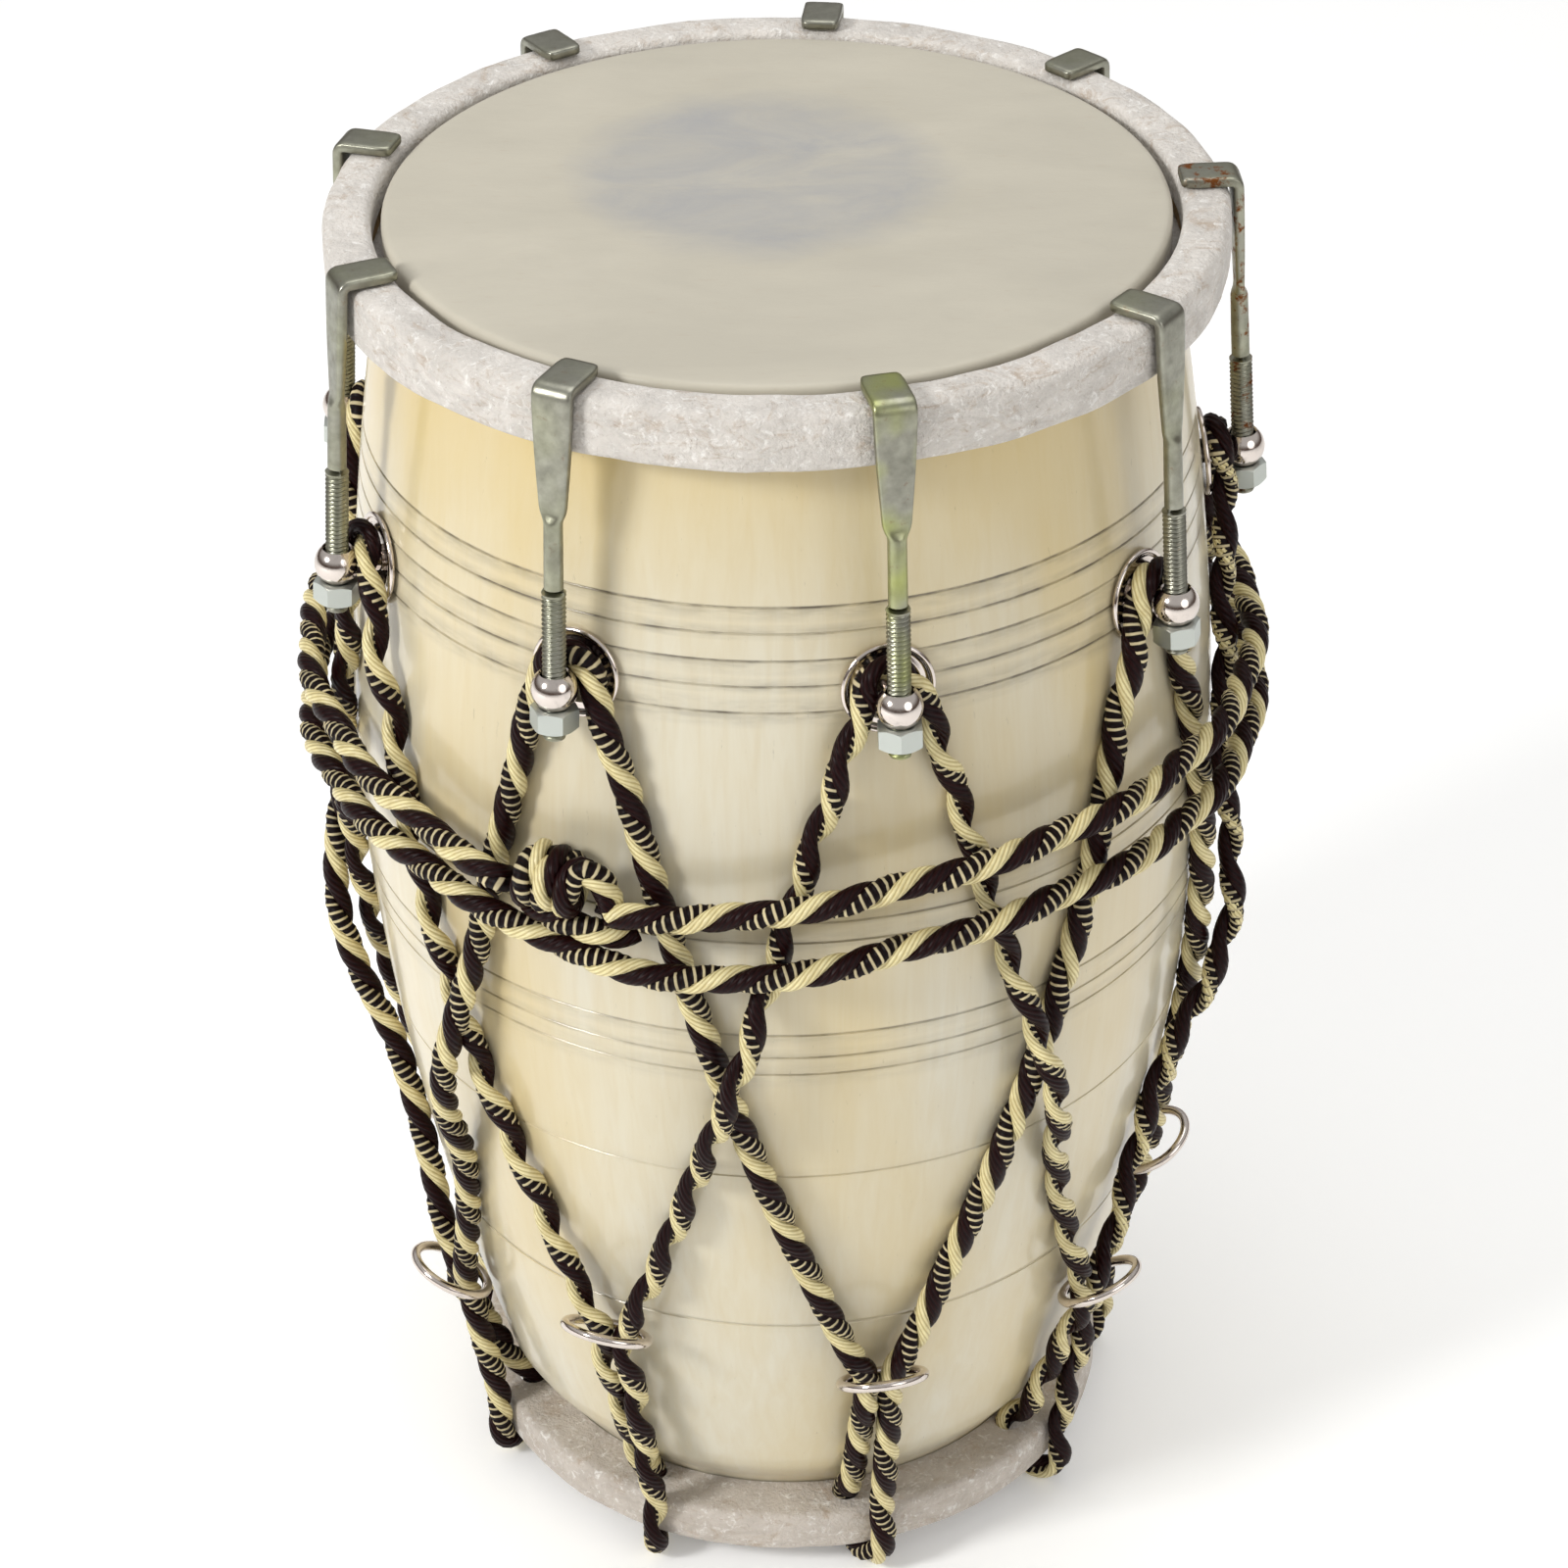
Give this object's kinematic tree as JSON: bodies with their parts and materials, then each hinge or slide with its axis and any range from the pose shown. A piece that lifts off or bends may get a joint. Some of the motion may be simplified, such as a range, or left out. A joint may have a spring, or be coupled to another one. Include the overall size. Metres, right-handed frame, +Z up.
{
  "type": "barrel hand drum",
  "caption": "Wooden barrel drum with hide heads: hook bolts tune the broad upper head, and a rope lacing with slip rings tunes the small lower head",
  "frame": {"origin": "centre of the lower skin outer face, where the drum rests", "axes": "+Z up the drum axis towards the upper head, -Y towards the front where the belt knot is left of centre"},
  "size_m": [0.273, 0.2737, 0.4081],
  "materials": {
    "lacquered_wood": "clear gloss lacquer over pale turned mango wood, dark turned grooves",
    "rawhide": "scraped goat rawhide, satin, mottled where it laps the hoops",
    "cane": "plain coiled cane, hidden under the hide",
    "iron": "plain iron, hidden under the hide",
    "tuning_paste": "matt black tuning paste, hidden under the upper skin",
    "zinc_plated_steel": "dull grey-green zinc plate with a little rust",
    "chrome_plate": "bright nickel and chrome plate",
    "twisted_cord": "three-strand twisted braid cord: gold, maroon and striped black strands"
  },
  "bodies": {
    "drum": {"shell": "lacquered_wood", "upper_head": "rawhide", "lower_head": "rawhide", "upper_hoop_core": "cane", "lower_hoop_core": "iron", "bass_paste": "tuning_paste", "eye_post_1": "chrome_plate", "eye_post_2": "chrome_plate", "eye_post_3": "chrome_plate", "eye_post_4": "chrome_plate", "eye_post_5": "chrome_plate", "eye_post_6": "chrome_plate", "eye_post_7": "chrome_plate", "eye_post_8": "chrome_plate", "eye_post_9": "chrome_plate", "eye_washer_1": "chrome_plate", "eye_washer_2": "chrome_plate", "eye_washer_3": "chrome_plate", "eye_washer_4": "chrome_plate", "eye_washer_5": "chrome_plate", "eye_washer_6": "chrome_plate", "eye_washer_7": "chrome_plate", "eye_washer_8": "chrome_plate", "eye_washer_9": "chrome_plate", "lacing_cord": "twisted_cord", "belt_cord": "twisted_cord", "belt_knot": "twisted_cord"},
    "hook_1": {"hook_bolt_1": "zinc_plated_steel"},
    "bolt_nut_1": {"nut_1": "zinc_plated_steel"},
    "slip_ring_1": {"tuning_ring_1": "chrome_plate"},
    "hook_2": {"hook_bolt_2": "zinc_plated_steel"},
    "bolt_nut_2": {"nut_2": "zinc_plated_steel"},
    "slip_ring_2": {"tuning_ring_2": "chrome_plate"},
    "hook_3": {"hook_bolt_3": "zinc_plated_steel"},
    "bolt_nut_3": {"nut_3": "zinc_plated_steel"},
    "slip_ring_3": {"tuning_ring_3": "chrome_plate"},
    "hook_4": {"hook_bolt_4": "zinc_plated_steel"},
    "bolt_nut_4": {"nut_4": "zinc_plated_steel"},
    "slip_ring_4": {"tuning_ring_4": "chrome_plate"},
    "hook_5": {"hook_bolt_5": "zinc_plated_steel"},
    "bolt_nut_5": {"nut_5": "zinc_plated_steel"},
    "slip_ring_5": {"tuning_ring_5": "chrome_plate"},
    "hook_6": {"hook_bolt_6": "zinc_plated_steel"},
    "bolt_nut_6": {"nut_6": "zinc_plated_steel"},
    "slip_ring_6": {"tuning_ring_6": "chrome_plate"},
    "hook_7": {"hook_bolt_7": "zinc_plated_steel"},
    "bolt_nut_7": {"nut_7": "zinc_plated_steel"},
    "slip_ring_7": {"tuning_ring_7": "chrome_plate"},
    "hook_8": {"hook_bolt_8": "zinc_plated_steel"},
    "bolt_nut_8": {"nut_8": "zinc_plated_steel"},
    "slip_ring_8": {"tuning_ring_8": "chrome_plate"},
    "hook_9": {"hook_bolt_9": "zinc_plated_steel"},
    "bolt_nut_9": {"nut_9": "zinc_plated_steel"},
    "slip_ring_9": {"tuning_ring_9": "chrome_plate"}
  },
  "joints": [
    {"name": "nut_turn_1", "type": "hinge", "parent": "drum", "child": "bolt_nut_1", "pos_m": [-0.05782, -0.11447, 0.31948], "axis": [-0.0312, -0.0618, -0.9976], "range_deg": [0, 1441]},
    {"name": "hook_lift_1", "type": "slide", "parent": "drum", "child": "hook_1", "axis": [0.0312, 0.0618, 0.9976], "range_m": [0, 0.00508]},
    {"name": "ring_slide_1", "type": "slide", "parent": "drum", "child": "slip_ring_1", "axis": [0.0927, 0.1836, -0.9786], "range_m": [0, 0.004]},
    {"name": "nut_turn_2", "type": "hinge", "parent": "drum", "child": "bolt_nut_2", "pos_m": [0.02928, -0.12485, 0.31948], "axis": [0.0158, -0.0674, -0.9976], "range_deg": [0, 1441]},
    {"name": "hook_lift_2", "type": "slide", "parent": "drum", "child": "hook_2", "axis": [-0.0158, 0.0674, 0.9976], "range_m": [0, 0.00508]},
    {"name": "ring_slide_2", "type": "slide", "parent": "drum", "child": "slip_ring_2", "axis": [-0.0497, 0.212, -0.976], "range_m": [0, 0.004]},
    {"name": "nut_turn_3", "type": "hinge", "parent": "drum", "child": "bolt_nut_3", "pos_m": [0.10269, -0.07682, 0.31948], "axis": [0.0554, -0.0415, -0.9976], "range_deg": [0, 1441]},
    {"name": "hook_lift_3", "type": "slide", "parent": "drum", "child": "hook_3", "axis": [-0.0554, 0.0415, 0.9976], "range_m": [0, 0.00508]},
    {"name": "ring_slide_3", "type": "slide", "parent": "drum", "child": "slip_ring_3", "axis": [-0.1751, 0.131, -0.9758], "range_m": [0, 0.004]},
    {"name": "nut_turn_4", "type": "hinge", "parent": "drum", "child": "bolt_nut_4", "pos_m": [0.12804, 0.00716, 0.31948], "axis": [0.0691, 0.0039, -0.9976], "range_deg": [0, 1441]},
    {"name": "hook_lift_4", "type": "slide", "parent": "drum", "child": "hook_4", "axis": [-0.0691, -0.0039, 0.9976], "range_m": [0, 0.00508]},
    {"name": "ring_slide_4", "type": "slide", "parent": "drum", "child": "slip_ring_4", "axis": [-0.2237, -0.0125, -0.9746], "range_m": [0, 0.004]},
    {"name": "nut_turn_5", "type": "hinge", "parent": "drum", "child": "bolt_nut_5", "pos_m": [0.09348, 0.08779, 0.31948], "axis": [0.0504, 0.0474, -0.9976], "range_deg": [0, 1441]},
    {"name": "hook_lift_5", "type": "slide", "parent": "drum", "child": "hook_5", "axis": [-0.0504, -0.0474, 0.9976], "range_m": [0, 0.00508]},
    {"name": "ring_slide_5", "type": "slide", "parent": "drum", "child": "slip_ring_5", "axis": [-0.1574, -0.1478, -0.9764], "range_m": [0, 0.004]},
    {"name": "nut_turn_6", "type": "hinge", "parent": "drum", "child": "bolt_nut_6", "pos_m": [0.01519, 0.12734, 0.31948], "axis": [0.0082, 0.0687, -0.9976], "range_deg": [0, 1441]},
    {"name": "hook_lift_6", "type": "slide", "parent": "drum", "child": "hook_6", "axis": [-0.0082, -0.0687, 0.9976], "range_m": [0, 0.00508]},
    {"name": "ring_slide_6", "type": "slide", "parent": "drum", "child": "slip_ring_6", "axis": [-0.0268, -0.2251, -0.974], "range_m": [0, 0.004]},
    {"name": "nut_turn_7", "type": "hinge", "parent": "drum", "child": "bolt_nut_7", "pos_m": [-0.07022, 0.10731, 0.31948], "axis": [-0.0379, 0.0579, -0.9976], "range_deg": [0, 1441]},
    {"name": "hook_lift_7", "type": "slide", "parent": "drum", "child": "hook_7", "axis": [0.0379, -0.0579, 0.9976], "range_m": [0, 0.00508]},
    {"name": "ring_slide_7", "type": "slide", "parent": "drum", "child": "slip_ring_7", "axis": [0.1167, -0.1783, -0.977], "range_m": [0, 0.004]},
    {"name": "nut_turn_8", "type": "hinge", "parent": "drum", "child": "bolt_nut_8", "pos_m": [-0.12277, 0.03707, 0.31948], "axis": [-0.0662, 0.02, -0.9976], "range_deg": [0, 1441]},
    {"name": "hook_lift_8", "type": "slide", "parent": "drum", "child": "hook_8", "axis": [0.0662, -0.02, 0.9976], "range_m": [0, 0.00508]},
    {"name": "ring_slide_8", "type": "slide", "parent": "drum", "child": "slip_ring_8", "axis": [0.2119, -0.064, -0.9752], "range_m": [0, 0.004]},
    {"name": "nut_turn_9", "type": "hinge", "parent": "drum", "child": "bolt_nut_9", "pos_m": [-0.11787, -0.05052, 0.31948], "axis": [-0.0636, -0.0273, -0.9976], "range_deg": [0, 1441]},
    {"name": "hook_lift_9", "type": "slide", "parent": "drum", "child": "hook_9", "axis": [0.0636, 0.0273, 0.9976], "range_m": [0, 0.00508]},
    {"name": "ring_slide_9", "type": "slide", "parent": "drum", "child": "slip_ring_9", "axis": [0.2117, 0.0907, -0.9731], "range_m": [0, 0.004]}
  ],
  "couplings": [
    {"joint": "nut_turn_1", "follows": "hook_lift_1", "rad_per_m": 4947.4},
    {"joint": "nut_turn_2", "follows": "hook_lift_2", "rad_per_m": 4947.4},
    {"joint": "nut_turn_3", "follows": "hook_lift_3", "rad_per_m": 4947.4},
    {"joint": "nut_turn_4", "follows": "hook_lift_4", "rad_per_m": 4947.4},
    {"joint": "nut_turn_5", "follows": "hook_lift_5", "rad_per_m": 4947.4},
    {"joint": "nut_turn_6", "follows": "hook_lift_6", "rad_per_m": 4947.4},
    {"joint": "nut_turn_7", "follows": "hook_lift_7", "rad_per_m": 4947.4},
    {"joint": "nut_turn_8", "follows": "hook_lift_8", "rad_per_m": 4947.4},
    {"joint": "nut_turn_9", "follows": "hook_lift_9", "rad_per_m": 4947.4}
  ]
}
